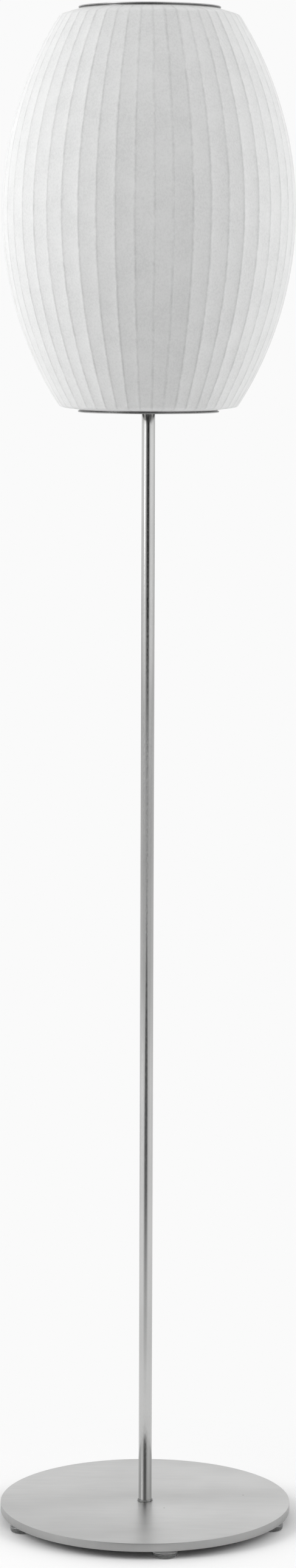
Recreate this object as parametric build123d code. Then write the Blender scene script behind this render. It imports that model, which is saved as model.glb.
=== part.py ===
from build123d import *
import math
import os

# Bubble floor lamp: a flat round steel base on clear stick-on feet, a slim steel
# pole, and a tall barrel shade of sprayed plastic skin over a cage of 48 wires.
# Millimetres, Z up. The origin is on the floor, under the centre of the base.
# The front of the lamp faces -Y.

# Base disc
base_diameter = 280.0
base_thickness = 8.0
recess_diameter = 36.0
recess_depth = 4.0

# Clear feet, stuck on by hand, so their spacing is uneven
foot_height = 8.0
foot_top_diameter = 24.0
foot_floor_diameter = 16.0
foot_circle_radius = 127.5
foot_sides = 24
foot_angles = (55.0, 129.0, 203.0, 278.5, 341.3)

# Pole: half-inch tube with a tapped end at each side
pole_length = 1049.3
pole_diameter = 12.7
pole_bore = 8.6
thread_depth = 18.0
seat_washer_diameter = 14.6
seat_washer_thickness = 1.2

# Hollow threaded nipples with a washer, lock washer and nut on each: one set is
# under the base and the same set is on top of the pole
nipple_diameter = 10.0
nipple_bore = 7.0
nipple_tail = 0.5
thread_gap = 0.1
hole_gap = 0.2
flat_washer_diameter = 28.0
flat_washer_thickness = 1.5
lock_washer_diameter = 16.0
lock_washer_thickness = 0.9
nut_across_flats = 14.0
nut_height = 3.2

# Cord bushing in the lower end of the base nipple
bushing_bore = 5.2
bushing_sleeve_length = 8.0
bushing_flange_diameter = 10.0
bushing_flange_thickness = 1.5
bushing_gap = 0.05

# Carrier: three arms whose upturned ends hold up the lower ring of the shade
carrier_hub_diameter = 32.0
carrier_thickness = 2.0
carrier_arm_width = 10.0
carrier_first_arm_angle = 90.0
carrier_arm_count = 3
carrier_prong_thickness = 2.0
carrier_lift = 0.5
carrier_side_gap = 0.4

# Shade rings: a thin upright band with an outward lip at its free edge
ring_lip_diameter = 132.4
ring_band_diameter = 131.0
ring_band_wall = 1.0
ring_band_height = 8.0
ring_lip_height = 1.1
ring_show = 2.4
seat_tab_width = 12.0
seat_tab_reach = 4.0
seat_tab_thickness = 1.0
seat_tab_height = 6.0

# Shade cage and skin. The side of the shade is one circular arc, set by its
# diameter at the waist and at the corners, with a short slope in to each ring.
wire_count = 48
first_wire_angle = 271.96
wire_diameter = 1.2
wire_gap = 0.1
skin_wall = 0.8
skin_ring_gap = 0.15
waist_diameter = 274.7
corner_diameter = 167.0
side_height = 362.0
side_flats = 8
panel_flats = 2
skin_panels = 12
first_panel_gore = 2
top_slope_rise = 5.2
bottom_slope_drop = 2.4

# Lamp socket with a turn key, moulded in two outer halves
cap_diameter = 37.0
cap_height = 16.0
cap_floor = 2.5
socket_wall = 1.4
socket_gap = 0.15
shell_overlap = 8.0
shell_length = 42.0
lead_space = 5.0
socket_body_height = 20.0
screw_shell_diameter = 28.4
screw_shell_wall = 0.6
screw_shell_height = 21.0
contact_width = 6.0
contact_strip = 0.5
contact_length = 11.0
contact_height = 4.0

# Switch key through the back of the socket
key_shaft_diameter = 3.2
key_running_gap = 0.05
key_hole_gap = 0.5
key_seat_depth = 6.0
key_above_cap = 1.5
key_reach = 9.0
key_blade_width = 12.0
key_blade_length = 8.0
key_blade_thickness = 2.4

# Light bulb
bulb_base_diameter = 26.2
bulb_base_height = 22.0
bulb_tip_diameter = 10.0
bulb_tip_height = 1.5
bulb_contact_gap = 0.3
bulb_globe_diameter = 60.0
bulb_neck_diameter = 25.0
bulb_neck_length = 42.0
bulb_neck_angle = 25.0
bulb_bands = 7
bulb_sides = 24

# Heights worked out from the sizes above
base_bottom = foot_height
base_top = base_bottom + base_thickness
recess_roof = base_bottom + recess_depth
base_washer_low = recess_roof - flat_washer_thickness
base_lock_low = base_washer_low - lock_washer_thickness
base_nut_low = base_lock_low - nut_height
base_nipple_low = base_nut_low - nipple_tail
pole_bottom = base_top + seat_washer_thickness
pole_top = pole_bottom + pole_length
nipple_length = pole_bottom + thread_depth - base_nipple_low
head_nipple_low = pole_top - thread_depth
head_washer_low = pole_top + carrier_thickness
head_lock_low = head_washer_low + flat_washer_thickness
head_nut_low = head_lock_low + lock_washer_thickness
socket_low = head_nut_low + nut_height
socket_body_low = socket_low + cap_floor + lead_space
socket_body_top = socket_body_low + socket_body_height
shell_low = socket_low + cap_height - shell_overlap
key_height = socket_low + cap_height + key_above_cap + key_shaft_diameter / 2
bulb_tip_low = socket_body_top + contact_height + bulb_contact_gap
bulb_base_low = bulb_tip_low + bulb_tip_height
bulb_base_top = bulb_base_low + bulb_base_height

# Radii worked out from the sizes above
thread_hole = nipple_diameter / 2 + thread_gap
loose_hole = nipple_diameter / 2 + hole_gap
band_radius = ring_band_diameter / 2
band_inner = band_radius - ring_band_wall
cap_inner = cap_diameter / 2 - socket_wall
shell_radius = cap_inner - socket_gap
shell_inner = shell_radius - socket_wall
socket_body_radius = shell_inner - socket_gap
skin_end_radius = band_radius + skin_ring_gap
slope_length = corner_diameter / 2 - skin_end_radius

# Shade levels: the lower ring stands on the carrier by its seat tabs
lower_ring_edge = pole_top - carrier_lift
lower_skin_edge = lower_ring_edge + ring_show
lower_corner = lower_skin_edge + bottom_slope_drop
upper_corner = lower_corner + side_height
upper_skin_edge = upper_corner + top_slope_rise
upper_ring_edge = upper_skin_edge + ring_show
waist_height = (lower_corner + upper_corner) / 2


def tube(outer_radius, inner_radius, low, height):
    """A plain ring or tube that stands on the level named low."""
    at_foot = (Align.CENTER, Align.CENTER, Align.MIN)
    wall = Cylinder(outer_radius, height, align=at_foot)
    wall -= Cylinder(inner_radius, height, align=at_foot)
    return Pos(0, 0, low) * wall


def rod(radius, low, height):
    """A plain solid cylinder that stands on the level named low."""
    return Pos(0, 0, low) * Cylinder(radius, height, align=(Align.CENTER, Align.CENTER, Align.MIN))


def faceted(outline, sides, first_angle=0.0):
    """A solid of flat faces through regular polygons of (radius, height), low to high."""
    turn = 2 * math.pi / sides
    corners = [math.radians(first_angle) + number * turn for number in range(sides)]
    rows = [
        [Vector(radius * math.cos(a), radius * math.sin(a), height) for a in corners]
        for radius, height in outline
    ]
    faces = [Face(Wire.make_polygon(rows[0])), Face(Wire.make_polygon(rows[-1]))]
    for low, high in zip(rows, rows[1:]):
        for here in range(sides):
            after = (here + 1) % sides
            quad = [low[here], low[after], high[after], high[here]]
            faces.append(Face(Wire.make_polygon(quad)))
    return Solid(Shell(faces))


def base_disc():
    """Steel disc with a hole for the nipple and a recess under it for the nut."""
    disc = rod(base_diameter / 2, base_bottom, base_thickness)
    disc -= rod(recess_diameter / 2, base_bottom, recess_depth)
    return disc - rod(loose_hole, base_bottom, base_thickness)


def bumper_feet():
    """Soft clear feet, wide where they stick to the base and narrow on the floor."""
    outline = [(foot_floor_diameter / 2, 0), (foot_top_diameter / 2, foot_height)]
    foot = faceted(outline, foot_sides)
    places = [Rot(0, 0, angle) * Pos(foot_circle_radius, 0, 0) for angle in foot_angles]
    return [place * foot for place in places]


def pole_tube():
    """Half-inch tube, bored through, with a tapped length at each end."""
    pole = tube(pole_diameter / 2, pole_bore / 2, pole_bottom, pole_length)
    pole -= rod(thread_hole, pole_bottom, thread_depth)
    return pole - rod(thread_hole, head_nipple_low, thread_depth)


def threaded_nipples():
    """The two hollow nipples that draw the base and the carrier onto the pole."""
    lows = (base_nipple_low, head_nipple_low)
    return [tube(nipple_diameter / 2, nipple_bore / 2, low, nipple_length) for low in lows]


def flat_washers():
    """One broad washer against the base and one against the carrier."""
    lows = (base_washer_low, head_washer_low)
    radius = flat_washer_diameter / 2
    return [tube(radius, loose_hole, low, flat_washer_thickness) for low in lows]


def lock_washers():
    """One lock washer under each nut."""
    lows = (base_lock_low, head_lock_low)
    radius = lock_washer_diameter / 2
    return [tube(radius, loose_hole, low, lock_washer_thickness) for low in lows]


def nipple_nuts():
    """Hexagon nuts on the two nipples."""
    hexagon = RegularPolygon(nut_across_flats / 2, 6, major_radius=False)
    nut = extrude(hexagon, nut_height) - rod(thread_hole, 0, nut_height)
    return [Pos(0, 0, low) * nut for low in (base_nut_low, head_nut_low)]


def cord_bushing():
    """Flanged bushing that lines the lower end of the base nipple for the cord."""
    sleeve = tube(
        nipple_bore / 2 - bushing_gap,
        bushing_bore / 2,
        base_nipple_low - bushing_flange_thickness,
        bushing_flange_thickness + bushing_sleeve_length,
    )
    flange_low = base_nipple_low - bushing_flange_thickness
    return sleeve + tube(
        bushing_flange_diameter / 2, bushing_bore / 2, flange_low, bushing_flange_thickness
    )


def shade_carrier():
    """Flat three-arm carrier, its arm ends turned up to meet the seat tabs."""
    half_width = carrier_arm_width / 2
    reach = math.sqrt((band_inner - carrier_side_gap) ** 2 - half_width**2)
    prong_top = lower_ring_edge + seat_tab_height
    arm_box = (Align.MIN, Align.CENTER, Align.MIN)
    prong_box = (Align.MAX, Align.CENTER, Align.MIN)
    arm = Box(reach, carrier_arm_width, carrier_thickness, align=arm_box)
    prong_height = prong_top - pole_top
    prong = Box(carrier_prong_thickness, carrier_arm_width, prong_height, align=prong_box)
    arm += Pos(reach, 0, 0) * prong
    step = 360 / carrier_arm_count
    carrier = rod(carrier_hub_diameter / 2, 0, carrier_thickness)
    for number in range(carrier_arm_count):
        carrier += Rot(0, 0, carrier_first_arm_angle + number * step) * arm
    carrier -= rod(loose_hole, 0, carrier_thickness)
    return Pos(0, 0, pole_top) * carrier


def flat_sided(radius, low, height):
    """An upright prism with a flat for each gore, its flats at the given radius."""
    polygon = RegularPolygon(radius, wire_count, major_radius=False)
    return Pos(0, 0, low) * Rot(0, 0, first_wire_angle) * extrude(polygon, height)


def shade_ring():
    """A ring of the cage, its lip down on the level zero, with the flats of the gores."""
    ring = flat_sided(ring_lip_diameter / 2, 0, ring_lip_height)
    ring += flat_sided(band_radius, 0, ring_band_height)
    return ring - flat_sided(band_inner, 0, ring_band_height)


def top_ring():
    """Open ring at the top of the cage."""
    return Pos(0, 0, upper_ring_edge) * mirror(shade_ring(), about=Plane.XY)


def bottom_ring():
    """Ring at the bottom of the cage, with a seat tab over each carrier arm."""
    ring = Pos(0, 0, lower_ring_edge) * shade_ring()
    tab = Box(
        seat_tab_reach + ring_band_wall / 2,
        seat_tab_width,
        seat_tab_thickness,
        align=(Align.MIN, Align.CENTER, Align.MIN),
    )
    tab = Pos(band_inner - seat_tab_reach, 0, lower_ring_edge + seat_tab_height) * tab
    for number in range(carrier_arm_count):
        ring += Rot(0, 0, carrier_first_arm_angle + number * 360 / carrier_arm_count) * tab
    return ring


def side_outline(ring_radius):
    """Outside of the skin along a wire, from the lower ring to the upper one."""
    waist, corner, half = waist_diameter / 2, corner_diameter / 2, side_height / 2
    bow = waist - corner
    arc_radius = (half**2 + bow**2) / (2 * bow)
    turn = math.asin(half / arc_radius)
    slope_run = corner - ring_radius
    outline = [(ring_radius, lower_corner - bottom_slope_drop * slope_run / slope_length)]
    for number in range(side_flats + 1):
        angle = turn * (2 * number / side_flats - 1)
        radius = waist - arc_radius * (1 - math.cos(angle))
        outline.append((radius, waist_height + arc_radius * math.sin(angle)))
    outline.append((ring_radius, upper_corner + top_slope_rise * slope_run / slope_length))
    return outline


def moved_in(outline, depth):
    """The outline moved in square to each flat, its ends kept at their radius."""
    normals = []
    for (r0, z0), (r1, z1) in zip(outline, outline[1:]):
        length = math.hypot(r1 - r0, z1 - z0)
        normals.append(((z1 - z0) / length, (r0 - r1) / length))
    inner = [(outline[0][0], outline[0][1] - depth / normals[0][1])]
    for (radius, height), before, after in zip(outline[1:-1], normals, normals[1:]):
        share = depth / (1 + before[0] * after[0] + before[1] * after[1])
        inner.append(
            (radius - share * (before[0] + after[0]), height - share * (before[1] + after[1]))
        )
    inner.append((outline[-1][0], outline[-1][1] - depth / normals[-1][1]))
    return inner


def shade_skin():
    """Thin sprayed skin, drawn flat from wire to wire, in panels that meet face to face."""
    turn = math.pi / wire_count
    outside = side_outline(skin_end_radius / math.cos(turn))
    first = math.radians(first_wire_angle) + first_panel_gore * 2 * turn
    outer, inner = [
        [
            [
                Vector(radius * math.cos(angle), radius * math.sin(angle), height)
                for angle in (first + 2 * turn * gore for gore in range(wire_count + 1))
            ]
            for radius, height in outline
        ]
        for outline in (outside, moved_in(outside, skin_wall))
    ]
    levels = [0, *range(1, side_flats, panel_flats), side_flats + 1, side_flats + 2]
    edges = [round(wire_count * number / skin_panels) for number in range(skin_panels + 1)]
    panels = []
    for low, high in zip(levels, levels[1:]):
        for start, end in zip(edges, edges[1:]):
            rows, gores = range(low, high), range(start, end)
            quads = [
                [wall[r][g], wall[r][g + 1], wall[r + 1][g + 1], wall[r + 1][g]]
                for wall in (outer, inner)
                for r in rows
                for g in gores
            ]
            quads += [
                [outer[r][g], outer[r][g + 1], inner[r][g + 1], inner[r][g]]
                for r in (low, high)
                for g in gores
            ]
            sides = [
                [outer[r][g] for r in range(low, high + 1)]
                + [inner[r][g] for r in range(high, low - 1, -1)]
                for g in (start, end)
            ]
            faces = [Face(Wire.make_polygon(corners)) for corners in quads + sides]
            panels.append(Solid(Shell(faces)))
    return panels


def cage_wires():
    """Bent wires under the skin, each drawn three-sided with a side to the skin."""
    section_radius = wire_diameter * math.sqrt(math.pi / (3 * math.sqrt(3)))
    depth = skin_wall + wire_gap + section_radius / 2
    line = moved_in(side_outline(band_radius + section_radius), depth)
    path = Plane.XZ * Polyline(*line)
    start = Plane(path @ 0, x_dir=(0, 1, 0), z_dir=path % 0)
    section = start * Rot(0, 0, 90) * RegularPolygon(section_radius, 3)
    wire = sweep(section, path, transition=Transition.RIGHT)
    step = 360 / wire_count
    return [Rot(0, 0, first_wire_angle + number * step) * wire for number in range(wire_count)]


def socket_cap():
    """Moulded cup that screws onto the head nipple."""
    cap = rod(cap_diameter / 2, socket_low, cap_height)
    cap -= rod(cap_inner, socket_low + cap_floor, cap_height - cap_floor)
    return cap - rod(thread_hole, socket_low, cap_floor)


def socket_shell():
    """Moulded sleeve that snaps into the cap, with a hole for the key."""
    shell = tube(shell_radius, shell_inner, shell_low, shell_length)
    hole = Cylinder(key_shaft_diameter / 2 + key_hole_gap, cap_diameter)
    return shell - Pos(0, cap_diameter / 2, key_height) * Rot(90, 0, 0) * hole


def socket_body():
    """Inner block that holds the switch and carries the parts that touch the bulb."""
    body = rod(socket_body_radius, socket_body_low, socket_body_height)
    hole = Cylinder(key_shaft_diameter / 2 + key_running_gap, key_seat_depth)
    hole_middle = socket_body_radius - key_seat_depth / 2
    return body - Pos(0, hole_middle, key_height) * Rot(90, 0, 0) * hole


def socket_screw_shell():
    """Metal sleeve that the bulb screws into."""
    radius = screw_shell_diameter / 2
    return tube(radius, radius - screw_shell_wall, socket_body_top, screw_shell_height)


def socket_centre_contact():
    """Bent spring strip on the socket body, under the tip of the bulb."""
    half = contact_length / 2
    strip = contact_strip
    outline = [
        (-half, 0),
        (half, 0),
        (half, strip),
        (0, strip),
        (-half / 2, contact_height - strip),
        (half, contact_height - strip),
        (half, contact_height),
        (-half, contact_height),
        (-half / 2, strip),
        (-half, strip),
    ]
    face = Plane.XZ * make_face(Polyline(*outline, close=True))
    return Pos(0, 0, socket_body_top) * extrude(face, contact_width / 2, both=True)


def switch_key():
    """Turn key of the switch: a round shaft with a flat blade outside the socket."""
    start = socket_body_radius - key_seat_depth
    shaft_length = cap_diameter / 2 + key_reach - start
    blade_start = cap_diameter / 2 + key_reach
    shaft = Cylinder(key_shaft_diameter / 2, shaft_length)
    shaft = Pos(0, start + shaft_length / 2, key_height) * Rot(90, 0, 0) * shaft
    blade = Box(key_blade_width, key_blade_length, key_blade_thickness)
    return shaft + Pos(0, blade_start + key_blade_length / 2, key_height) * blade


def bulb_screw_base():
    """Metal screw base of the bulb."""
    return rod(bulb_base_diameter / 2, bulb_base_low, bulb_base_height)


def bulb_tip_contact():
    """Round contact at the very tip of the bulb."""
    return rod(bulb_tip_diameter / 2, bulb_tip_low, bulb_tip_height)


def bulb_globe():
    """Frosted bulb: a neck that flares out to a round top."""
    globe = bulb_globe_diameter / 2
    centre = bulb_base_top + bulb_neck_length
    start = -math.radians(bulb_neck_angle)
    outline = [(bulb_neck_diameter / 2, bulb_base_top)]
    for number in range(bulb_bands):
        angle = start + (math.pi / 2 - start) * number / (bulb_bands - 0.5)
        outline.append((globe * math.cos(angle), centre + globe * math.sin(angle)))
    return faceted(outline, bulb_sides)


parts = {
    "base_disc": base_disc(),
    "bumper_feet": bumper_feet(),
    "pole_seat_washer": tube(
        seat_washer_diameter / 2, loose_hole, base_top, seat_washer_thickness
    ),
    "pole_tube": pole_tube(),
    "threaded_nipples": threaded_nipples(),
    "flat_washers": flat_washers(),
    "lock_washers": lock_washers(),
    "nipple_nuts": nipple_nuts(),
    "cord_bushing": cord_bushing(),
    "shade_carrier": shade_carrier(),
    "socket_cap": socket_cap(),
    "socket_shell": socket_shell(),
    "socket_body": socket_body(),
    "socket_screw_shell": socket_screw_shell(),
    "socket_centre_contact": socket_centre_contact(),
    "switch_key": switch_key(),
    "bulb_screw_base": bulb_screw_base(),
    "bulb_tip_contact": bulb_tip_contact(),
    "bulb_globe": bulb_globe(),
    "shade_skin": shade_skin(),
    "cage_wires": cage_wires(),
    "top_ring": top_ring(),
    "bottom_ring": bottom_ring(),
}

os.makedirs("parts", exist_ok=True)
for name, shape in parts.items():
    solids = shape if isinstance(shape, list) else [shape]
    export_step(Compound(children=solids) if len(solids) > 1 else shape, f"parts/{name}.step")
    print(name, len(solids), "solid" if len(solids) == 1 else "solids")
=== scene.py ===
import math
import random

import bmesh
import bpy
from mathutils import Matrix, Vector


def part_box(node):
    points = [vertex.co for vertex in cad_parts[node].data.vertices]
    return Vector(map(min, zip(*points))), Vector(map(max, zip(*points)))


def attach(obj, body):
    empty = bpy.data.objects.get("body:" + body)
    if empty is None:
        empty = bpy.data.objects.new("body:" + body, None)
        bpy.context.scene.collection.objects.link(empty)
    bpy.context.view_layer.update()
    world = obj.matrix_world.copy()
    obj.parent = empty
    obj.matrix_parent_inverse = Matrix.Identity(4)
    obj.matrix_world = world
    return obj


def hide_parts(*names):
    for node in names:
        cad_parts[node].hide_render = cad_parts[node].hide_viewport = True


# Looks for the bubble floor lamp, in metres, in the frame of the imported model.
# The front of the lamp faces -Y and the floor is Z = 0.

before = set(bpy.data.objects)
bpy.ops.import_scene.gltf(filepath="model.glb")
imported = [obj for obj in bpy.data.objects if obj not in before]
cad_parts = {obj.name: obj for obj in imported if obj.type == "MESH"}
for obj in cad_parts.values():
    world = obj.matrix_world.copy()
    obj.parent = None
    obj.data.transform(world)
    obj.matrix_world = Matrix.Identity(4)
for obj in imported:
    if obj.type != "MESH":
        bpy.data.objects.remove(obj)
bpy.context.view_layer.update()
mm = 0.001

# Places read from the frame
base_low, base_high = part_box("base_disc")
pole_low, pole_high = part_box("pole_tube")
washer_low, washer_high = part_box("pole_seat_washer")
skin_low, skin_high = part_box("shade_skin")
top_ring_low, top_ring_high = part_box("top_ring")
bottom_ring_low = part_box("bottom_ring")[0]
globe_low, globe_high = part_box("bulb_globe")
bulb_base_low, bulb_base_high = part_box("bulb_screw_base")
cap_low, cap_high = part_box("socket_cap")
shell_low, shell_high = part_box("socket_shell")
screw_shell_low, screw_shell_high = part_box("socket_screw_shell")

# Real sizes that the boxes do not give
corner_radius_from_axis = 83.5 * mm
top_slope_rise = 5.2 * mm
bottom_slope_drop = 2.4 * mm
wire_count = 48
first_wire_angle = math.radians(271.96)
wire_radius = 0.6 * mm
skin_wall = 0.8 * mm
foot_circle_radius = 127.5 * mm
foot_angles = (55.0, 129.0, 203.0, 278.5, 341.3)
foot_height = base_low.z
carrier_first_arm = math.radians(90)
ring_reveal = 2.4 * mm
ring_overlap = 0.4 * mm
clearance_hole = 5.2 * mm
tapped_hole = 5.1 * mm
screw_pitch = 3.6 * mm
base_specks = [
    (x, y, base_high.z) for x, y in ((0.0184, -0.026), (0.0955, 0.017), (-0.0769, -0.1199))
]

random.seed(48)

# Directions for brushed grain
even_grain = (1.0, 1.0, 1.0)
upright = (0.0, 0.0, 1.0)
front_to_back = (0.0, 1.0, 0.0)

# Light and floor. Room levels are (degrees to the right of the camera's side, level).
# The darker front floor and the dark patch are painted shade, for the camera and its stand keeping
# light away.
floor_color, painted_shade_front_floor_color, painted_shade_patch_color = 0.99, 0.85, 0.15
floor_fade_start, floor_fade_end = 0.35, 1.3
floor_patch_centre, floor_patch_reach, floor_patch_edge = (-0.1, -2.3), (1.0, 2.05), 0.35
floor_half_width = 60.0
plain_floor_start, plain_floor_end = 0.2, 0.36
background_level = 0.956
overhead_level = 0.5
overhead_start, overhead_end = 0.55, 0.95
room_strength = 2.0
room_levels = [
    (-179, 0.96), (-140, 0.92), (-115, 1.0), (-60, 1.1), (-48, 1.0), (-38, 0.8), (-28, 0.35),
    (-16, 0.1), (-4, 0.02), (8, 0.04), (18, 0.35), (28, 0.9), (40, 1.1), (70, 1.15), (120, 0.85),
    (140, 0.85), (179, 0.96),
]
panel_target = (0, 0, 1.9)
side_panel_size, strip_size = (1.4, 2.2), (0.85, 1.6)


def new_object(name, verts, faces, smooth_angle=35.0):
    """A mesh object whose edges stay crisp above smooth_angle degrees."""
    mesh = bpy.data.meshes.new(name)
    mesh.from_pydata([tuple(v) for v in verts], [], faces)
    mesh.validate()
    mesh.update()
    obj = bpy.data.objects.new(name, mesh)
    bpy.context.scene.collection.objects.link(obj)
    for polygon in mesh.polygons:
        polygon.use_smooth = True
    mesh.set_sharp_from_angle(angle=math.radians(smooth_angle))
    return obj


def grid_faces(rows, columns, close_rows=False):
    """Quads over rows of points, each row a loop; close_rows joins the last row to the
    first."""
    faces = []
    for r in range(rows if close_rows else rows - 1):
        below, above = r * columns, ((r + 1) % rows) * columns
        for c in range(columns):
            d = (c + 1) % columns
            faces.append((below + c, below + d, above + d, above + c))
    return faces


def circle(radius, height, sides, centre=(0.0, 0.0)):
    """Points round an upright axis. The radius may be a function of the point's number."""
    points = []
    for k in range(sides):
        a = 2 * math.pi * k / sides
        reach = radius(k) if callable(radius) else radius
        points.append((centre[0] + reach * math.cos(a), centre[1] + reach * math.sin(a), height))
    return points


def lathe(name, outline, sides=96, close=False, smooth_angle=35.0, centre=(0.0, 0.0)):
    """Turns an outline of (radius, height) about an upright axis. Ends at zero radius
    become single points; close joins the last point to the first."""
    verts, rings, faces = [], [], []
    for radius, height in outline:
        if radius < 1e-9:
            rings.append([len(verts)])
            verts.append((centre[0], centre[1], height))
            continue
        rings.append(list(range(len(verts), len(verts) + sides)))
        verts += circle(radius, height, sides, centre)
    pairs = list(zip(rings, rings[1:]))
    if close:
        pairs.append((rings[-1], rings[0]))
    for low, high in pairs:
        for k in range(sides):
            n = (k + 1) % sides
            if len(low) == 1 and len(high) == 1:
                break
            if len(low) == 1:
                faces.append((low[0], high[n], high[k]))
            elif len(high) == 1:
                faces.append((low[k], low[n], high[0]))
            else:
                faces.append((low[k], low[n], high[n], high[k]))
    return new_object(name, verts, faces, smooth_angle)


def rounded(outline, radius, steps=4, most=0.45):
    """A closed outline with each corner cut by an arc-like curve of about that radius. A
    cut takes no more than the share most of either side."""
    result, count = [], len(outline)
    for i, corner in enumerate(outline):
        before, after = Vector(outline[i - 1]), Vector(outline[(i + 1) % count])
        here = Vector(corner)
        to_before, to_after = before - here, after - here
        cut = min(radius, to_before.length * most, to_after.length * most)
        start, end = here + to_before.normalized() * cut, here + to_after.normalized() * cut
        for k in range(steps + 1):
            t = k / steps
            point = start * (1 - t) ** 2 + here * 2 * t * (1 - t) + end * t**2
            result.append((point.x, point.y))
    return result


def material(name, color, roughness, metallic=0.0):
    """A Principled material with its node tree and shader ready to be added to."""
    made = bpy.data.materials.new(name)
    made.use_nodes = True
    shader = made.node_tree.nodes["Principled BSDF"]
    shader.inputs["Base Color"].default_value = (*color, 1.0)
    shader.inputs["Roughness"].default_value = roughness
    shader.inputs["Metallic"].default_value = metallic
    return made, made.node_tree, shader


def noise(tree, scale, detail=3.0, stretch=even_grain, roughness=0.5):
    """Noise over object coordinates, stretched along an axis by a small factor there."""
    coords = tree.nodes.new("ShaderNodeTexCoord")
    mapping = tree.nodes.new("ShaderNodeMapping")
    mapping.inputs["Scale"].default_value = stretch
    texture = tree.nodes.new("ShaderNodeTexNoise")
    texture.inputs["Scale"].default_value = scale
    texture.inputs["Detail"].default_value = detail
    texture.inputs["Roughness"].default_value = roughness
    tree.links.new(coords.outputs["Object"], mapping.inputs["Vector"])
    tree.links.new(mapping.outputs["Vector"], texture.inputs["Vector"])
    return texture.outputs["Fac"]


def ramp(tree, value, stops):
    """Colour ramp over a value; stops are (position, colour)."""
    node = tree.nodes.new("ShaderNodeValToRGB")
    elements = node.color_ramp.elements
    while len(elements) < len(stops):
        elements.new(0.5)
    for element, (position, color) in zip(elements, stops):
        element.position = position
        element.color = (*color, 1.0)
    tree.links.new(value, node.inputs["Fac"])
    return node.outputs["Color"]


def map_range(tree, value, source, target=(0.0, 1.0), smooth=False):
    """Maps a value from the source range onto the target range, and holds it at the ends."""
    node = tree.nodes.new("ShaderNodeMapRange")
    if smooth:
        node.interpolation_type = "SMOOTHSTEP"
    for socket, number in zip(("From Min", "From Max", "To Min", "To Max"), (*source, *target)):
        node.inputs[socket].default_value = number
    tree.links.new(value, node.inputs["Value"])
    return node.outputs["Result"]


def spread(tree, value, low, high):
    """Maps a noise value from its usual 0.3 to 0.7 onto low to high."""
    return map_range(tree, value, (0.3, 0.7), (low, high))


def maths(tree, operation, *values):
    """One sum over numbers and outputs of other nodes."""
    node = tree.nodes.new("ShaderNodeMath")
    node.operation = operation
    for socket, value in zip(node.inputs, values):
        if isinstance(value, (int, float)):
            socket.default_value = value
        else:
            tree.links.new(value, socket)
    return node.outputs["Value"]


def split_vector(tree, vector):
    """The X, Y and Z outputs of a vector."""
    node = tree.nodes.new("ShaderNodeSeparateXYZ")
    tree.links.new(vector, node.inputs["Vector"])
    return node.outputs


def scale_color(tree, color, factor):
    """A colour times a value."""
    node = tree.nodes.new("ShaderNodeVectorMath")
    node.operation = "SCALE"
    tree.links.new(color, node.inputs[0])
    tree.links.new(factor, node.inputs["Scale"])
    return node.outputs["Vector"]


def fade_to_level(tree, share, color, level):
    """A colour that goes over to a plain grey level as share goes from 0 to 1."""
    node = tree.nodes.new("ShaderNodeMix")
    node.data_type = "RGBA"
    node.inputs["B"].default_value = (level,) * 3 + (1.0,)
    tree.links.new(share, node.inputs["Factor"])
    tree.links.new(color, node.inputs["A"])
    return node.outputs["Result"]


def choose_shader(tree, share, first, second, output):
    """Sends the first shader to the output where share is 0 and the second where it is 1."""
    node = tree.nodes.new("ShaderNodeMixShader")
    tree.links.new(share, node.inputs["Fac"])
    tree.links.new(first, node.inputs[1])
    tree.links.new(second, node.inputs[2])
    tree.links.new(node.outputs["Shader"], output.inputs["Surface"])


def bump(tree, shader, value, strength, distance):
    """Adds a bump from a value, over any bump that is there already."""
    node = tree.nodes.new("ShaderNodeBump")
    node.inputs["Strength"].default_value = strength
    node.inputs["Distance"].default_value = distance
    tree.links.new(value, node.inputs["Height"])
    socket = shader.inputs["Normal"]
    if socket.is_linked:
        tree.links.new(socket.links[0].from_socket, node.inputs["Normal"])
    tree.links.new(node.outputs["Normal"], socket)


def brushed_steel(name, grain, reach, color, roughness, anisotropy):
    """Satin steel: fine grain stretched along one axis, and reflections drawn out along
    reach, square to the grain."""
    grain_scale, cloud_scale, gloss_change = 900.0, 14.0, 0.05
    made, tree, shader = material(name, color, roughness, 1.0)
    shader.inputs["Anisotropic"].default_value = anisotropy
    direction = tree.nodes.new("ShaderNodeCombineXYZ")
    for socket, value in zip(direction.inputs, reach):
        socket.default_value = value
    tree.links.new(direction.outputs["Vector"], shader.inputs["Tangent"])
    fine = noise(tree, grain_scale, 2.0, grain)
    broad = noise(tree, cloud_scale, 3.0, tuple(0.35 + 0.65 * g for g in grain))
    light = tuple(min(1.0, c * 1.05) for c in color)
    dark = tuple(c * 0.93 for c in color)
    tree.links.new(ramp(tree, broad, [(0.35, dark), (0.65, light)]), shader.inputs["Base Color"])
    gloss = spread(tree, fine, roughness - gloss_change, roughness + gloss_change)
    tree.links.new(gloss, shader.inputs["Roughness"])
    bump(tree, shader, fine, 0.10, 0.05 * mm)
    return made


def add_specks(made, places):
    """Small dark pits in a finish, each at its own place, and broad faint clouds."""
    tree = made.node_tree
    shader = tree.nodes["Principled BSDF"]
    color = shader.inputs["Base Color"].links[0].from_socket
    pit_edges, pit_levels = (0.3 * mm, 1.1 * mm), (0.3, 1.0)
    level = spread(tree, noise(tree, 11.0, 3.0), 0.94, 1.03)
    coords = tree.nodes.new("ShaderNodeTexCoord")
    for place in places:
        distance = tree.nodes.new("ShaderNodeVectorMath")
        distance.operation = "DISTANCE"
        distance.inputs[1].default_value = place
        tree.links.new(coords.outputs["Object"], distance.inputs[0])
        pit = map_range(tree, distance.outputs["Value"], pit_edges, pit_levels, smooth=True)
        level = maths(tree, "MULTIPLY", level, pit)
    tree.links.new(scale_color(tree, color, level), shader.inputs["Base Color"])


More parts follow.
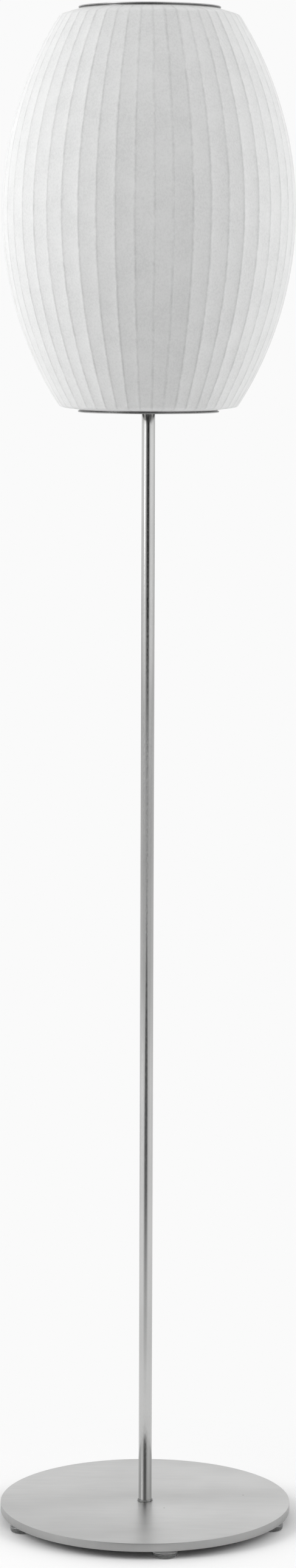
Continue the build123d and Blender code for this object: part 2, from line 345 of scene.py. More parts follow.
def skin_material():
    """Sprayed white plastic: a matt film with a fine web and faint clouds in it. The map
    "gores" counts the gores round the shade and gives the width of a gore in metres, so
    each gore gets its own faint tone and each wire shows as a thin uneven grey line."""
    made, tree, shader = material("sprayed_skin", (0.8, 0.8, 0.79), 0.5)
    shader.inputs["Specular IOR Level"].default_value = 0.4
    shader.inputs["Subsurface Weight"].default_value = 0.8
    shader.inputs["Subsurface Radius"].default_value = (1.0, 1.0, 1.0)
    shader.inputs["Subsurface Scale"].default_value = 2.5 * mm
    shader.inputs["Sheen Weight"].default_value = 0.12
    shader.inputs["Sheen Roughness"].default_value = 0.5

    tone_change, line_wander = 0.05, 0.025
    line_edges, line_depths = (0.2 * mm, 1.9 * mm), (0.02, 0.18)
    cloud_share, web_share = 0.35, 0.65
    dark, middle, light = (0.73, 0.735, 0.732), (0.792, 0.797, 0.793), (0.832, 0.837, 0.833)

    gores = tree.nodes.new("ShaderNodeUVMap")
    gores.uv_map = "gores"
    count, width = split_vector(tree, gores.outputs["UV"])[:2]
    dice = tree.nodes.new("ShaderNodeTexWhiteNoise")
    dice.noise_dimensions = "1D"
    tree.links.new(maths(tree, "FLOOR", count), dice.inputs["W"])
    tone = maths(tree, "MULTIPLY_ADD", dice.outputs["Value"], tone_change, 1.0 - tone_change)
    wander = spread(tree, noise(tree, 70.0), -line_wander, line_wander)
    here = maths(tree, "ADD", count, wander)
    away = maths(tree, "MULTIPLY", maths(tree, "PINGPONG", here, 0.5), width)
    line = map_range(tree, away, line_edges, (1.0, 0.0), smooth=True)
    broken = spread(tree, noise(tree, 110.0), *line_depths)
    rib = maths(tree, "SUBTRACT", 1.0, maths(tree, "MULTIPLY", line, broken))

    clouds = maths(tree, "MULTIPLY", noise(tree, 38.0), cloud_share)
    web = noise(tree, 620.0, 5.0, (1.0, 1.0, 0.75), 0.65)
    mottle = maths(tree, "ADD", clouds, maths(tree, "MULTIPLY", web, web_share))
    film = ramp(tree, mottle, [(0.38, dark), (0.5, middle), (0.62, light)])
    color = scale_color(tree, film, maths(tree, "MULTIPLY", tone, rib))
    tree.links.new(color, shader.inputs["Base Color"])
    tree.links.new(spread(tree, web, 0.42, 0.58), shader.inputs["Roughness"])
    bump(tree, shader, web, 0.3, 0.12 * mm)
    return made


def clear_plastic_material():
    """Clear soft bumper plastic with a faint haze."""
    made, tree, shader = material("clear_bumper", (0.96, 0.97, 0.965), 0.03)
    shader.inputs["Transmission Weight"].default_value = 0.9
    shader.inputs["IOR"].default_value = 1.49
    haze = noise(tree, 400.0, 2.0)
    tree.links.new(spread(tree, haze, 0.015, 0.05), shader.inputs["Roughness"])
    return made


def dress(obj, body, made, slot, *nodes):
    """Gives a piece its material, its body and the nodes it replaces. Its slot is not used."""
    obj.data.materials.append(made)
    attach(obj, body)
    if nodes:
        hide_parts(*nodes)
    return obj


# The side of the shade along one wire, from the lower ring to the upper one

waist_radius = (skin_high.x - skin_low.x) / 2
mouth_radius = (top_ring_high.x - top_ring_low.x) / 2 - ring_overlap
lower_corner = bottom_ring_low.z + ring_reveal + bottom_slope_drop
upper_corner = top_ring_high.z - ring_reveal - top_slope_rise


def side_line(inset, arc_steps=44, corner_steps=5, mouth_steps=4):
    """Points (radius, height) along the outside of the skin, moved in by inset."""
    half = (upper_corner - lower_corner) / 2
    middle = (upper_corner + lower_corner) / 2
    bow = waist_radius - corner_radius_from_axis
    arc = (half**2 + bow**2) / (2 * bow)
    turn = math.asin(half / arc)
    bend = 3.0 * mm
    short = bend / arc
    line = []

    def on_arc(angle):
        radius = waist_radius - arc * (1 - math.cos(angle)) - inset * math.cos(angle)
        return Vector((radius, middle + (arc - inset) * math.sin(angle)))

    def corner_curve(start, tip, end):
        return [
            start * (1 - t) ** 2 + tip * 2 * t * (1 - t) + end * t**2
            for t in (k / corner_steps for k in range(corner_steps + 1))
        ]

    low_mouth = Vector((mouth_radius, lower_corner - bottom_slope_drop + inset))
    low_tip = Vector((corner_radius_from_axis - inset * 0.6, lower_corner + inset))
    top_mouth = Vector((mouth_radius, upper_corner + top_slope_rise - inset))
    top_tip = Vector((corner_radius_from_axis - inset * 0.6, upper_corner - inset))
    toward_low = (low_mouth - low_tip).normalized() * bend
    toward_top = (top_mouth - top_tip).normalized() * bend
    line += [low_mouth.lerp(low_tip + toward_low, k / mouth_steps) for k in range(mouth_steps)]
    line += corner_curve(low_tip + toward_low, low_tip, on_arc(-turn + short))
    for k in range(1, arc_steps):
        line.append(on_arc((turn - short) * (2 * k / arc_steps - 1)))
    line += corner_curve(on_arc(turn - short), top_tip, top_tip + toward_top)
    line += [
        (top_tip + toward_top).lerp(top_mouth, k / mouth_steps) for k in range(1, mouth_steps + 1)
    ]
    return [(p.x, p.y) for p in line]


wire_wander = 0.22
wire_angles = [
    first_wire_angle + 2 * math.pi * k / wire_count
    + math.radians(random.uniform(-wire_wander, wire_wander))
    for k in range(wire_count)
]
gore_sags = [random.uniform(0.15, 0.5) * mm for _ in range(wire_count)]
gore_steps = (0.0, 0.035, 0.08, 0.15, 0.3, 0.5, 0.7, 0.85, 0.92, 0.965)
rib_height = 0.22 * mm
rib_width = 0.95 * mm


def gored_row(radius, height, draw):
    """One level of the skin: flat between wires, drawn in a little, ribbed at each wire."""
    row = []
    for k in range(wire_count):
        start = wire_angles[k]
        end = wire_angles[(k + 1) % wire_count] + (2 * math.pi if k == wire_count - 1 else 0)
        a = Vector((math.cos(start), math.sin(start))) * radius
        b = Vector((math.cos(end), math.sin(end))) * radius
        width = (b - a).length
        for s in gore_steps:
            point = a.lerp(b, s)
            outward = point.normalized()
            near = min(s, 1 - s) * width
            lift = rib_height * math.exp(-((near / rib_width) ** 2)) - rib_height
            sag = gore_sags[k] * draw * 4 * s * (1 - s)
            point = point + outward * (lift - sag)
            row.append((point.x, point.y, height))
    return row


def build_skin(made):
    """The skin as one closed thin shell with an outside, an inside and two mouths. Its map
    "gores" is what skin_material reads."""
    outside, inside = side_line(0.0), side_line(skin_wall)
    verts = []
    for line in (outside, list(reversed(inside))):
        for radius, height in line:
            draw = min(1.0, max(0.0, (radius - mouth_radius) / (waist_radius - mouth_radius)))
            verts += gored_row(radius, height, draw**0.5)
    columns = wire_count * len(gore_steps)
    faces = grid_faces(len(outside) + len(inside), columns, close_rows=True)
    obj = new_object("shade_skin_film", verts, faces, 60.0)
    marks = [k + s for k in range(wire_count) for s in gore_steps] + [float(wire_count)]
    gore_map = obj.data.uv_layers.new(name="gores")
    for polygon in obj.data.polygons:
        column = polygon.index % columns
        for corner, loop in enumerate(polygon.loop_indices):
            place = obj.data.vertices[obj.data.loops[loop].vertex_index].co
            width = 2 * math.hypot(place.x, place.y) * math.sin(math.pi / wire_count)
            gore_map.data[loop].uv = (marks[column + (1 if corner in (1, 2) else 0)], width)
    dress(obj, "shade", made, "shade_skin", "shade_skin")


def build_wires(made):
    """Round wires close under the ribs of the skin."""
    gap_to_skin = 0.1 * mm
    line = side_line(skin_wall + wire_radius + gap_to_skin, arc_steps=40, corner_steps=4)
    sides, verts, faces = 8, [], []
    for angle in wire_angles:
        out = Vector((math.cos(angle), math.sin(angle), 0))
        across = Vector((-math.sin(angle), math.cos(angle), 0))
        first = len(verts)
        for i, (radius, height) in enumerate(line):
            before = line[max(i - 1, 0)]
            after = line[min(i + 1, len(line) - 1)]
            along = Vector((after[0] - before[0], after[1] - before[1])).normalized()
            normal = out * along.y - Vector((0, 0, 1)) * along.x
            centre = out * radius + Vector((0, 0, height))
            for s in range(sides):
                t = 2 * math.pi * s / sides
                verts.append(centre + (normal * math.cos(t) + across * math.sin(t)) * wire_radius)
        for i in range(len(line) - 1):
            for s in range(sides):
                n = (s + 1) % sides
                a, b = first + i * sides, first + (i + 1) * sides
                faces.append((a + s, a + n, b + n, b + s))
        faces.append(tuple(first + s for s in reversed(range(sides))))
        last = first + (len(line) - 1) * sides
        faces.append(tuple(last + s for s in range(sides)))
    obj = new_object("cage_wire_set", verts, faces, 50.0)
    dress(obj, "shade", made, "cage_wire", "cage_wires")


def build_ring(name, edge, inwards, made, bright, node):
    """A shade ring with a rounded lip, a groove under it and a plain band. The band's dark steel is
    painted shade and the lip's lighter steel a painted highlight.
    """
    lip, groove, band, inner = 66.2 * mm, 64.9 * mm, 65.4 * mm, 64.4 * mm
    outline = [
        (inner, edge),
        (lip, edge),
        (lip, edge + inwards * 1.2 * mm),
        (groove, edge + inwards * 1.3 * mm),
        (groove, edge + inwards * 2.8 * mm),
        (band, edge + inwards * 3.2 * mm),
        (band, edge + inwards * 8.0 * mm),
        (inner, edge + inwards * 8.0 * mm),
    ]
    if inwards < 0:
        outline.reverse()
    obj = lathe(name, rounded(outline, 0.4 * mm), sides=240, close=True)
    dress(obj, "shade", made, "polished_ring_steel", node)
    obj.data.materials.append(bright)
    # Faces of the lip take the lighter steel, a painted highlight; the rest keep the dark steel,
    # painted shade.
    for polygon in obj.data.polygons:
        centre = polygon.center
        if abs(centre.z - edge) < 1.25 * mm and math.hypot(centre.x, centre.y) > band:
            polygon.material_index = 1


def build_base(made, edge, under):
    """Base disc with a softly broken edge, the recess and the hole under it. Its side wall is
    turned and takes a darker steel, painted shade for the shadowed floor it reflects; its underside
    is painted near black, painted shade that deepens the shadow under the disc."""
    radius = (base_high.x - base_low.x) / 2 - 0.03 * mm
    low, high = base_low.z, base_high.z
    recess, roof = 18.0 * mm, low + 4.0 * mm
    outline = [
        (clearance_hole, high), (clearance_hole, roof), (recess, roof), (recess, low),
        (radius, low), (radius, high),
    ]
    obj = lathe("steel_base", rounded(outline, 0.35 * mm, steps=3), sides=320, close=True)
    dress(obj, "stand", made, "brushed_steel", "base_disc")
    obj.data.materials.append(edge)
    obj.data.materials.append(under)
    # The side wall takes the darker steel and the underside the near black one, both painted shade.
    for polygon in obj.data.polygons:
        centre = polygon.center
        outside = math.hypot(centre.x, centre.y) > radius - 0.3 * mm
        if outside and abs(polygon.normal.z) < 0.3:
            polygon.material_index = 1
        elif centre.z < high - 1.0 * mm:
            polygon.material_index = 2


def build_pole(made):
    """The pole as a smooth tube, its ends rounded over a little."""
    radius = (pole_high.x - pole_low.x) / 2
    bore, depth = 4.3 * mm, 18.0 * mm
    low, high = pole_low.z, pole_high.z
    outline = [
        (tapped_hole, low), (radius, low), (radius, high), (tapped_hole, high),
        (tapped_hole, high - depth), (bore, high - depth), (bore, low + depth),
        (tapped_hole, low + depth),
    ]
    obj = lathe("steel_pole", rounded(outline, 0.3 * mm, steps=3), sides=128, close=True)
    dress(obj, "stand", made, "brushed_steel", "pole_tube")


def build_seat_washer(made):
    """Thin washer with a rounded rim."""
    radius = (washer_high.x - washer_low.x) / 2
    outline = [
        (clearance_hole, washer_low.z), (radius, washer_low.z),
        (radius, washer_high.z), (clearance_hole, washer_high.z),
    ]
    obj = lathe("seat_washer", rounded(outline, 0.5 * mm), close=True)
    dress(obj, "stand", made, "clear_washer", "pole_seat_washer")


def build_feet(made):
    """Clear button bumpers, flat where they stand and where they stick, with a well
    rounded lower edge and a slight taper."""
    top, belly, floor, turn = 12.0 * mm, 11.8 * mm, 9.4 * mm, 2.6 * mm
    crown, turn_steps = foot_height - 0.02 * mm, 8
    profile = [(0.0, 0.0), (floor, 0.0)]
    for k in range(1, turn_steps + 1):
        t = k / turn_steps * math.pi / 2
        profile.append((floor + (belly - floor) * math.sin(t), turn * (1 - math.cos(t))))
    profile += [(top, foot_height - 0.5 * mm), (top, crown), (0.0, crown)]
    for number, degrees in enumerate(foot_angles):
        a = math.radians(degrees)
        centre = (foot_circle_radius * math.cos(a), foot_circle_radius * math.sin(a))
        foot = lathe(f"bumper_foot_{number + 1}", profile, sides=48, centre=centre)
        dress(foot, "stand", made, "clear_bumper")
    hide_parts("bumper_feet")


def build_globe(made):
    """Bulb envelope: a neck that flares into a round head."""
    head = (globe_high.x - globe_low.x) / 2
    neck = 12.6 * mm
    low, high = globe_low.z, globe_high.z
    centre, flare_start = high - head, low + 3 * mm
    flare_rise, flare_steps, head_steps = centre - 0.34 * head - flare_start, 11, 24
    outline = [(0.0, low), (neck, low), (neck, flare_start)]
    for k in range(1, flare_steps):
        t = k / flare_steps
        ease = t * t * (3 - 2 * t)
        outline.append((neck + (head * 0.94 - neck) * ease, flare_start + flare_rise * t))
    for k in range(head_steps + 1):
        angle = -math.radians(20) + math.radians(110) * k / head_steps
        outline.append((max(0.0, head * math.cos(angle)), centre + head * math.sin(angle)))
    outline[-1] = (0.0, high)
    obj = lathe("bulb_envelope", outline, smooth_angle=50)
    dress(obj, "bulb", made, "bulb_white", "bulb_globe")


def threaded(name, radius, depth, bore, low, high, pitch, rows_per_turn, sides=48):
    """A sleeve with a round helical thread outside and a plain bore."""
    verts, count = [], max(2, int((high - low) / pitch * rows_per_turn))
    heights = [low + (high - low) * k / count for k in range(count + 1)]
    for z in heights:
        fade = min(1.0, (z - low) / pitch, (high - z) / pitch)
        for k in range(sides):
            a = 2 * math.pi * k / sides
            wave = 0.5 + 0.5 * math.cos(2 * math.pi * (z - low) / pitch - a)
            r = radius - depth * (1 - wave * fade)
            verts.append((r * math.cos(a), r * math.sin(a), z))
    verts += circle(bore, high, sides) + circle(bore, low, sides)
    return new_object(name, verts, grid_faces(len(heights) + 2, sides, close_rows=True), 60.0)


def build_nipples(made):
    """The two hollow nipples with their fine thread."""
    low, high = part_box("threaded_nipples")
    length, radius, depth, bore, pitch = 29.3 * mm, 5.0 * mm, 0.3 * mm, 3.5 * mm, 0.94 * mm
    for name, start in (("base_nipple", low.z), ("head_nipple", high.z - length)):
        nipple = threaded(
            name, radius, depth, bore, start, start + length, pitch, rows_per_turn=6, sides=40
        )
        dress(nipple, "stand", made, "plated_hardware")
    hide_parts("threaded_nipples")


def build_flat_washers(made):
    """Broad flat washers with rounded rims."""
    low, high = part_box("flat_washers")
    thickness, radius = 1.5 * mm, (high.x - low.x) / 2
    for name, start in (("base_flat_washer", low.z), ("head_flat_washer", high.z - thickness)):
        end = start + thickness
        outline = [(clearance_hole, start), (radius, start), (radius, end), (clearance_hole, end)]
        washer = lathe(name, rounded(outline, 0.4 * mm), close=True)
        dress(washer, "stand", made, "plated_hardware")
    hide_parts("flat_washers")


def build_lock_washers(made):
    """Star lock washers: twelve teeth round the outside."""
    low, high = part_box("lock_washers")
    thickness, radius, notch, sides = 0.9 * mm, (high.x - low.x) / 2, 1.3 * mm, 96

    def teeth(k):
        return radius if (k % 8) < 5 else radius - notch

    for name, start in (("base_lock_washer", low.z), ("head_lock_washer", high.z - thickness)):
        verts = []
        for reach, lift in (
            (clearance_hole, 0.0), (teeth, 0.0), (teeth, thickness), (clearance_hole, thickness),
        ):
            verts += circle(reach, start + lift, sides)
        washer = new_object(name, verts, grid_faces(4, sides, close_rows=True), 30.0)
        dress(washer, "stand", made, "plated_hardware")
    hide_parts("lock_washers")


def build_nuts(made):
    """Hexagon nuts, their corners turned back at both faces."""
    low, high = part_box("nipple_nuts")
    flat, height, sides = (high.y - low.y) / 2, 3.2 * mm, 96
    turned_height, turned_width = 0.5 * mm, 0.1 * mm

    def hexagon(k):
        a = 2 * math.pi * k / sides
        return flat / math.cos((a % (math.pi / 3)) - math.pi / 6)

    def turned(k):
        return min(hexagon(k), flat + turned_width)

    for name, start in (("base_nut", low.z), ("head_nut", high.z - height)):
        verts = []
        for reach, lift in (
            (tapped_hole, 0.0), (turned, 0.0), (hexagon, turned_height),
            (hexagon, height - turned_height), (turned, height), (tapped_hole, height),
        ):
            verts += circle(reach, start + lift, sides)
        nut = new_object(name, verts, grid_faces(6, sides, close_rows=True), 25.0)
        dress(nut, "stand", made, "plated_hardware")
    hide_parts("nipple_nuts")


def build_bushing(made):
    """Flanged cord bushing with a well rounded mouth."""
    low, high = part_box("cord_bushing")
    bore, flange = 2.6 * mm, (high.x - low.x) / 2
    sleeve, step = 3.45 * mm, low.z + 1.5 * mm
    outline = [
        (bore, low.z), (flange, low.z), (flange, step), (sleeve, step),
        (sleeve, high.z), (bore, high.z),
    ]
    obj = lathe("cord_bushing_sleeve", rounded(outline, 0.6 * mm), sides=64, close=True)
    dress(obj, "stand", made, "black_plastic", "cord_bushing")


def build_seat_tabs(made):
    """Three small tabs inside the lower ring that sit on the carrier's arm ends."""
    inner, outer = 60.5 * mm, 64.9 * mm
    low = bottom_ring_low.z + 6.0 * mm
    half, thickness, bevel = 6.0 * mm, 1.0 * mm, 0.8 * mm
    outline = [
        (outer, -half), (outer, half), (inner + bevel, half), (inner, half - bevel),
        (inner, -half + bevel), (inner + bevel, -half),
    ]
    for number in range(3):
        a = carrier_first_arm + number * math.radians(120)
        verts = [
            (x * math.cos(a) - y * math.sin(a), x * math.sin(a) + y * math.cos(a), low + lift)
            for lift in (0.0, thickness)
            for x, y in outline
        ]
        count = len(outline)
        faces = [tuple(reversed(range(count))), tuple(range(count, 2 * count))]
        faces += [(k, (k + 1) % count, (k + 1) % count + count, k + count) for k in range(count)]
        tab = new_object(f"seat_tab_{number + 1}", verts, faces)
        dress(tab, "shade", made, "polished_ring_steel")


def build_socket(plastic, brass):
    """The socket: a moulded cap and sleeve, and the threaded metal shell inside."""
    radius, wall, floor, groove = (cap_high.x - cap_low.x) / 2, 1.4 * mm, 2.5 * mm, 0.5 * mm
    low, high = cap_low.z, cap_high.z
    outline = [
        (tapped_hole, low), (radius - 3.0 * mm, low), (radius - 0.8 * mm, low + 1.2 * mm),
        (radius, low + 4.0 * mm), (radius, high - 2.4 * mm), (radius - groove, high - 2.0 * mm),
        (radius - groove, high - 1.6 * mm), (radius, high - 1.2 * mm), (radius, high),
        (radius - wall, high), (radius - wall, low + floor + 1.0 * mm),
        (radius - 4.0 * mm, low + floor), (tapped_hole, low + floor),
    ]
    cap = lathe("socket_cap_moulding", rounded(outline, 0.5 * mm, steps=3), sides=128, close=True)
    dress(cap, "stand", plastic, "black_plastic", "socket_cap")
    sleeve = (shell_high.x - shell_low.x) / 2
    inner, low, high = sleeve - wall, shell_low.z, shell_high.z
    outline = [
        (inner, low), (sleeve, low), (sleeve, high - 9.0 * mm),
        (sleeve - groove, high - 8.4 * mm), (sleeve - groove, high - 3.0 * mm),
        (sleeve, high - 2.4 * mm), (sleeve, high), (inner, high),
    ]
    shell = lathe(
        "socket_sleeve_moulding", rounded(outline, 0.5 * mm, steps=3), sides=128, close=True
    )
    key_low, key_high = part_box("switch_key")
    key_z = (key_low.z + key_high.z) / 2
    key_hole, half = 2.1 * mm, 4 * mm
    outline = [(0.0, -half), (key_hole, -half), (key_hole, half), (0.0, half)]
    drill = lathe("key_hole_cutter", outline, sides=32)
    for vertex in drill.data.vertices:
        x, y, z = vertex.co
        vertex.co = (x, sleeve - wall / 2 + z, key_z + y)
    drill.data.flip_normals()
    cut = shell.modifiers.new("cut", "BOOLEAN")
    cut.operation, cut.object, cut.solver = "DIFFERENCE", drill, "EXACT"
    bpy.context.view_layer.update()
    evaluated = shell.evaluated_get(bpy.context.evaluated_depsgraph_get())
    shell.data = bpy.data.meshes.new_from_object(evaluated)
    shell.modifiers.clear()
    bpy.data.objects.remove(drill)
    clean = bmesh.new()
    clean.from_mesh(shell.data)
    bmesh.ops.remove_doubles(clean, verts=clean.verts, dist=0.02 * mm)
    bmesh.ops.dissolve_degenerate(clean, edges=clean.edges, dist=0.01 * mm)
    bmesh.ops.triangulate(clean, faces=[face for face in clean.faces if len(face.verts) > 4])
    clean.to_mesh(shell.data)
    clean.free()
    dress(shell, "stand", plastic, "black_plastic", "socket_shell")
    radius = (screw_shell_high.x - screw_shell_low.x) / 2
    screw = threaded(
        "socket_thread", radius, 0.3 * mm, radius - 0.6 * mm, screw_shell_low.z, screw_shell_high.z,
        screw_pitch, rows_per_turn=10, sides=72,
    )
    dress(screw, "stand", brass, "socket_brass", "socket_screw_shell")


def build_key(plastic):
    """Turn key: a round stem and a flat paddle with rounded corners and broken edges."""
    low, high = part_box("switch_key")
    z, stem, start = (low.z + high.z) / 2, 1.6 * mm, low.y
    paddle_low, paddle_high = high.y - 8.0 * mm, high.y
    end = paddle_low + 0.8 * mm
    outline = [(0.0, start), (stem, start), (stem, paddle_low), (stem * 0.92, end), (0.0, end)]
    shaft = lathe("switch_stem", outline, sides=32)
    for vertex in shaft.data.vertices:
        x, y, up = vertex.co
        vertex.co = (x, up, z + y)
    shaft.data.flip_normals()
    dress(shaft, "key", plastic, "black_plastic")
    half, thick, corner, corner_steps = (high.x - low.x) / 2, 1.2 * mm, 2.2 * mm, 6
    rim = []
    for cx, cy, first in (
        (half - corner, paddle_high - corner, 0), (-half + corner, paddle_high - corner, 90),
        (-half + corner, paddle_low + corner, 180), (half - corner, paddle_low + corner, 270),
    ):
        for k in range(corner_steps + 1):
            a = math.radians(first + 90 / corner_steps * k)
            rim.append((cx + corner * math.cos(a), cy + corner * math.sin(a)))
    middle = (paddle_low + paddle_high) / 2
    verts, count = [], len(rim)
    for lift, scale in ((-1.0, 0.9), (-0.75, 1.0), (0.75, 1.0), (1.0, 0.9)):
        for x, y in rim:
            verts.append((x * scale, middle + (y - middle) * scale, z + lift * thick))
    faces = [tuple(reversed(range(count))), tuple(range(3 * count, 4 * count))]
    faces += grid_faces(4, count)
    paddle = new_object("switch_paddle", verts, faces, 50.0)
    dress(paddle, "key", plastic, "black_plastic", "switch_key")


def build_bulb_base(metal, plastic):
    """The bulb's screw base: a collar, a round thread and a dark cone round the tip."""
    radius = (bulb_base_high.x - bulb_base_low.x) / 2
    low, high = bulb_base_low.z, bulb_base_high.z
    thread_low, thread_high, bore = low + 4.0 * mm, high - 3.0 * mm, radius - 2.0 * mm
    screw = threaded(
        "bulb_thread", radius, 0.8 * mm, bore, thread_low, thread_high, screw_pitch,
        rows_per_turn=12, sides=96,
    )
    dress(screw, "bulb", metal, "bulb_metal", "bulb_screw_base")
    collar_low, collar_radius = thread_high - 0.1 * mm, radius - 0.2 * mm
    collar = [
        (bore, collar_low), (radius - 0.8 * mm, collar_low), (collar_radius, high - 1.2 * mm),
        (collar_radius, high), (bore, high),
    ]
    ring = lathe("bulb_collar", rounded(collar, 0.3 * mm), close=True)
    dress(ring, "bulb", metal, "bulb_metal")
    cone_radius, cone_high = radius - 2.6 * mm, thread_low + 0.1 * mm
    cone = [
        (0.0, low), (5.6 * mm, low), (cone_radius, low + 3.4 * mm), (cone_radius, cone_high),
        (0.0, cone_high),
    ]
    dress(lathe("bulb_insulator", cone, sides=72), "bulb", plastic, "black_plastic")
    tip_low, tip_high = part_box("bulb_tip_contact")
    reach, rise, tip_steps = (tip_high.x - tip_low.x) / 2, 0.9 * (tip_high.z - tip_low.z), 6
    tip = [(0.0, tip_low.z)]
    for k in range(1, tip_steps + 1):
        a = math.pi / 2 * k / tip_steps
        tip.append((reach * (0.45 + 0.55 * math.sin(a)), tip_low.z + rise * (1 - math.cos(a))))
    tip += [(reach, tip_high.z), (0.0, tip_high.z)]
    dress(lathe("bulb_tip", tip, sides=48), "bulb", metal, "bulb_metal", "bulb_tip_contact")


def moulded_plastic(name, color, roughness=0.42):
    """Moulded plastic with a very fine grain and a faint change of gloss."""
    made, tree, shader = material(name, color, roughness)
    grain = noise(tree, 900.0, 3.0)
    broad = noise(tree, 45.0, 2.0)
    light = tuple(min(1.0, c * 1.12 + 0.004) for c in color)
    dark = tuple(c * 0.9 for c in color)
    tree.links.new(ramp(tree, broad, [(0.35, dark), (0.65, light)]), shader.inputs["Base Color"])
    gloss = spread(tree, broad, roughness - 0.06, roughness + 0.06)
    tree.links.new(gloss, shader.inputs["Roughness"])
    bump(tree, shader, grain, 0.15, 0.04 * mm)
    return made


def frosted_glass(name, color):
    """White coated glass of a bulb: smooth and a little satin, with faint clouds."""
    made, tree, shader = material(name, color, 0.32)
    shader.inputs["Subsurface Weight"].default_value = 0.15
    shader.inputs["Subsurface Scale"].default_value = 4.0 * mm
    clouds = noise(tree, 60.0, 2.0)
    dark = tuple(c * 0.96 for c in color)
    tree.links.new(ramp(tree, clouds, [(0.3, dark), (0.7, color)]), shader.inputs["Base Color"])
    tree.links.new(spread(tree, clouds, 0.28, 0.36), shader.inputs["Roughness"])
    return made


# Materials. A steel is given by its name, grain, reach, colour, roughness and anisotropy.

pole_steel = brushed_steel(
    "pole_steel", (1.0, 1.0, 0.35), upright, (0.54, 0.54, 0.535), 0.14, 0.5
)
base_steel = brushed_steel(
    "base_steel", (0.03, 1.0, 1.0), front_to_back, (0.605, 0.605, 0.6), 0.36, 0.25
)
# Darker steel for the base's side wall: painted shade for the shadowed floor it reflects.
side_wall_painted_shade_steel = brushed_steel(
    "side_wall_painted_shade_steel", (1.0, 1.0, 0.05), upright, (0.375, 0.375, 0.372), 0.34, 0.2
)
# Near black steel for the base's underside: painted shade that deepens the shadow under the disc.
painted_shade_underside_steel = brushed_steel("painted_shade_underside_steel", even_grain, front_to_back, (0.1, 0.1, 0.1), 0.5, 0.0)
add_specks(base_steel, base_specks)
# Dark steel for the polished rings and tabs: painted shade.
painted_shade_ring_steel = brushed_steel("painted_shade_ring_steel", even_grain, upright, (0.22, 0.22, 0.22), 0.25, 0.2)
# Lighter steel for the ring lips: a painted highlight.
painted_highlight_lip_steel = brushed_steel("painted_highlight_lip_steel", even_grain, upright, (0.42, 0.42, 0.42), 0.3, 0.0)
wire_steel = brushed_steel("wire_steel", (1.0, 1.0, 0.2), upright, (0.45, 0.45, 0.44), 0.35, 0.2)
plated_steel = brushed_steel("plated_steel", even_grain, upright, (0.66, 0.66, 0.62), 0.3, 0.1)
skin_white = skin_material()
clear_plastic = clear_plastic_material()
black_plastic = moulded_plastic("black_plastic", (0.03, 0.03, 0.03))
brass = brushed_steel("socket_brass", even_grain, upright, (0.78, 0.62, 0.32), 0.25, 0.1)
bulb_metal = brushed_steel("bulb_metal", even_grain, upright, (0.75, 0.75, 0.74), 0.3, 0.1)
bulb_glass = frosted_glass("bulb_glass", (0.93, 0.93, 0.91))

# Pieces

build_skin(skin_white)
build_wires(wire_steel)
# The rings and seat tabs take the dark ring steel, painted shade; the ring lips take the lighter
# steel, a painted highlight.
build_ring("top_rim", top_ring_high.z, -1, painted_shade_ring_steel, painted_highlight_lip_steel, "top_ring")
build_ring("bottom_rim", bottom_ring_low.z, 1, painted_shade_ring_steel, painted_highlight_lip_steel, "bottom_ring")
build_base(base_steel, side_wall_painted_shade_steel, painted_shade_underside_steel)
build_pole(pole_steel)
build_seat_washer(clear_plastic)
build_feet(clear_plastic)
build_seat_tabs(painted_shade_ring_steel)
build_nipples(plated_steel)
build_flat_washers(plated_steel)
build_lock_washers(plated_steel)
build_nuts(plated_steel)
build_bushing(black_plastic)
build_socket(black_plastic, brass)
build_key(black_plastic)
build_bulb_base(bulb_metal, black_plastic)
build_globe(bulb_glass)

for node, made in (
    ("shade_carrier", plated_steel),
    ("socket_body", black_plastic),
    ("socket_centre_contact", brass),
):
    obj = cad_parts[node]
    obj.data.materials.clear()
    obj.data.materials.append(made)


def build_floor():
    """Plain pale floor, large enough for every view, that takes the lamp's shadow. In front, out of
    view, it is painted darker, with a dark patch: painted shade where the camera and its stand
    would keep light away.
    Far from the lamp it has the plain background's level for the camera."""
    near, front = (floor_color,) * 3, (painted_shade_front_floor_color,) * 3
    made, tree, shader = material("floor", near, 0.9)
    shader.inputs["Specular IOR Level"].default_value = 0.0
    place = tree.nodes.new("ShaderNodeTexCoord").outputs["Object"]
    fade = map_range(tree, split_vector(tree, place)["Y"], (-floor_fade_end, -floor_fade_start))
    color = ramp(tree, fade, [(0.0, front), (1.0, near)])
    mapping = tree.nodes.new("ShaderNodeMapping")
    mapping.vector_type = "TEXTURE"
    mapping.inputs["Location"].default_value = (*floor_patch_centre, 0.0)
    mapping.inputs["Scale"].default_value = (*floor_patch_reach, 1.0)
    patch = tree.nodes.new("ShaderNodeTexGradient")
    patch.gradient_type = "SPHERICAL"
    tree.links.new(place, mapping.inputs["Vector"])
    tree.links.new(mapping.outputs["Vector"], patch.inputs["Vector"])
    # The dark patch and the darker front are painted shade.
    dark = map_range(tree, patch.outputs["Fac"], (0.0, floor_patch_edge))
    color = fade_to_level(tree, dark, color, painted_shade_patch_color)
    tree.links.new(color, shader.inputs["Base Color"])

    distance = tree.nodes.new("ShaderNodeVectorMath")
    distance.operation = "LENGTH"
    tree.links.new(place, distance.inputs[0])
    far = map_range(tree, distance.outputs["Value"], (plain_floor_start, plain_floor_end))
    path = tree.nodes.new("ShaderNodeLightPath")
    plain = tree.nodes.new("ShaderNodeEmission")
    plain.inputs["Color"].default_value = (background_level,) * 3 + (1.0,)
    choose_shader(
        tree, maths(tree, "MULTIPLY", far, path.outputs["Is Camera Ray"]),
        shader.outputs["BSDF"], plain.outputs["Emission"], tree.nodes["Material Output"],
    )
    half = floor_half_width
    verts = [(-half, -half, 0), (half, -half, 0), (half, half, 0), (-half, half, 0)]
    floor = new_object("floor", verts, [(0, 1, 2, 3)])
    floor.data.materials.append(made)


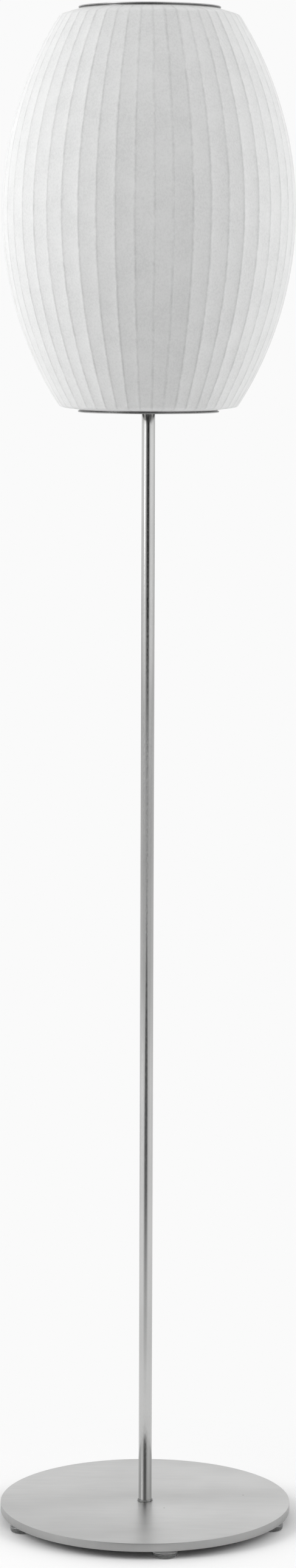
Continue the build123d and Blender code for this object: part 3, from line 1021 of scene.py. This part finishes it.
def area_light(name, place, target, size, power, in_metal=False):
    """A soft rectangular lamp at place, turned towards target. It either lights the matt
    pieces or is what the metal shows."""
    data = bpy.data.lights.new(name, "AREA")
    data.shape = "RECTANGLE"
    data.size, data.size_y = size
    data.energy = power
    lamp = bpy.data.objects.new(name, data)
    lamp.location = place
    lamp.rotation_euler = (Vector(target) - Vector(place)).to_track_quat("-Z", "Y").to_euler()
    lamp.visible_glossy = in_metal
    lamp.visible_diffuse = not in_metal
    bpy.context.scene.collection.objects.link(lamp)


def build_world():
    """A pale room all round, dimmer overhead and dark behind the camera. The camera and
    clear plastic see a plain white background in its place."""
    world = bpy.data.worlds.new("studio")
    bpy.context.scene.world = world
    world.use_nodes = True
    tree = world.node_tree
    nodes, links = tree.nodes, tree.links
    nodes.clear()
    direction = split_vector(tree, nodes.new("ShaderNodeTexCoord").outputs["Generated"])
    toward_camera = maths(tree, "MULTIPLY", direction["Y"], -1.0)
    azimuth = maths(tree, "ARCTAN2", direction["X"], toward_camera)
    share = map_range(tree, azimuth, (-math.pi, math.pi))
    end_level = room_levels[0][1]
    levels = [(0.0, end_level)] + [(0.5 + d / 360, v) for d, v in room_levels] + [(1.0, end_level)]
    around = ramp(tree, share, [(at, (level / room_strength,) * 3) for at, level in levels])
    height = map_range(tree, direction["Z"], (overhead_start, overhead_end))
    color = fade_to_level(tree, height, around, overhead_level / room_strength)
    room = nodes.new("ShaderNodeBackground")
    room.inputs["Strength"].default_value = room_strength
    links.new(color, room.inputs["Color"])
    plain = nodes.new("ShaderNodeBackground")
    plain.inputs["Color"].default_value = (background_level,) * 3 + (1.0,)
    path = nodes.new("ShaderNodeLightPath")
    clear = maths(
        tree, "MAXIMUM", path.outputs["Is Camera Ray"], path.outputs["Is Transmission Ray"]
    )
    choose_shader(
        tree, clear, room.outputs["Background"], plain.outputs["Background"],
        nodes.new("ShaderNodeOutputWorld"),
    )


def build_camera():
    """The photograph's viewpoint: 3.87 m in front, level with the lower half of the shade,
    looking down by seven degrees with a very slight roll."""
    distance, above_base, aside = 3.871, 1.1697, 0.00063
    dip, roll = 6.94, 0.184
    data = bpy.data.cameras.new("camera")
    data.sensor_width = 36.0
    data.lens = 94.43
    camera = bpy.data.objects.new("camera", data)
    camera.location = (aside, -distance, base_high.z + above_base)
    camera.rotation_mode = "ZYX"
    camera.rotation_euler = (math.radians(90 - dip), 0.0, math.radians(roll))
    bpy.context.scene.collection.objects.link(camera)
    bpy.context.scene.camera = camera


build_floor()
build_world()
area_light("left_panel", (-2.45, -0.9, 2.0), panel_target, side_panel_size, 42.0)
area_light("right_panel", (2.45, -0.9, 2.0), panel_target, side_panel_size, 24.0)
area_light("strip_panel", (-2.25, -1.25, 1.9), panel_target, strip_size, 7.5, in_metal=True)
build_camera()

bpy.context.scene.view_settings.view_transform = "Standard"
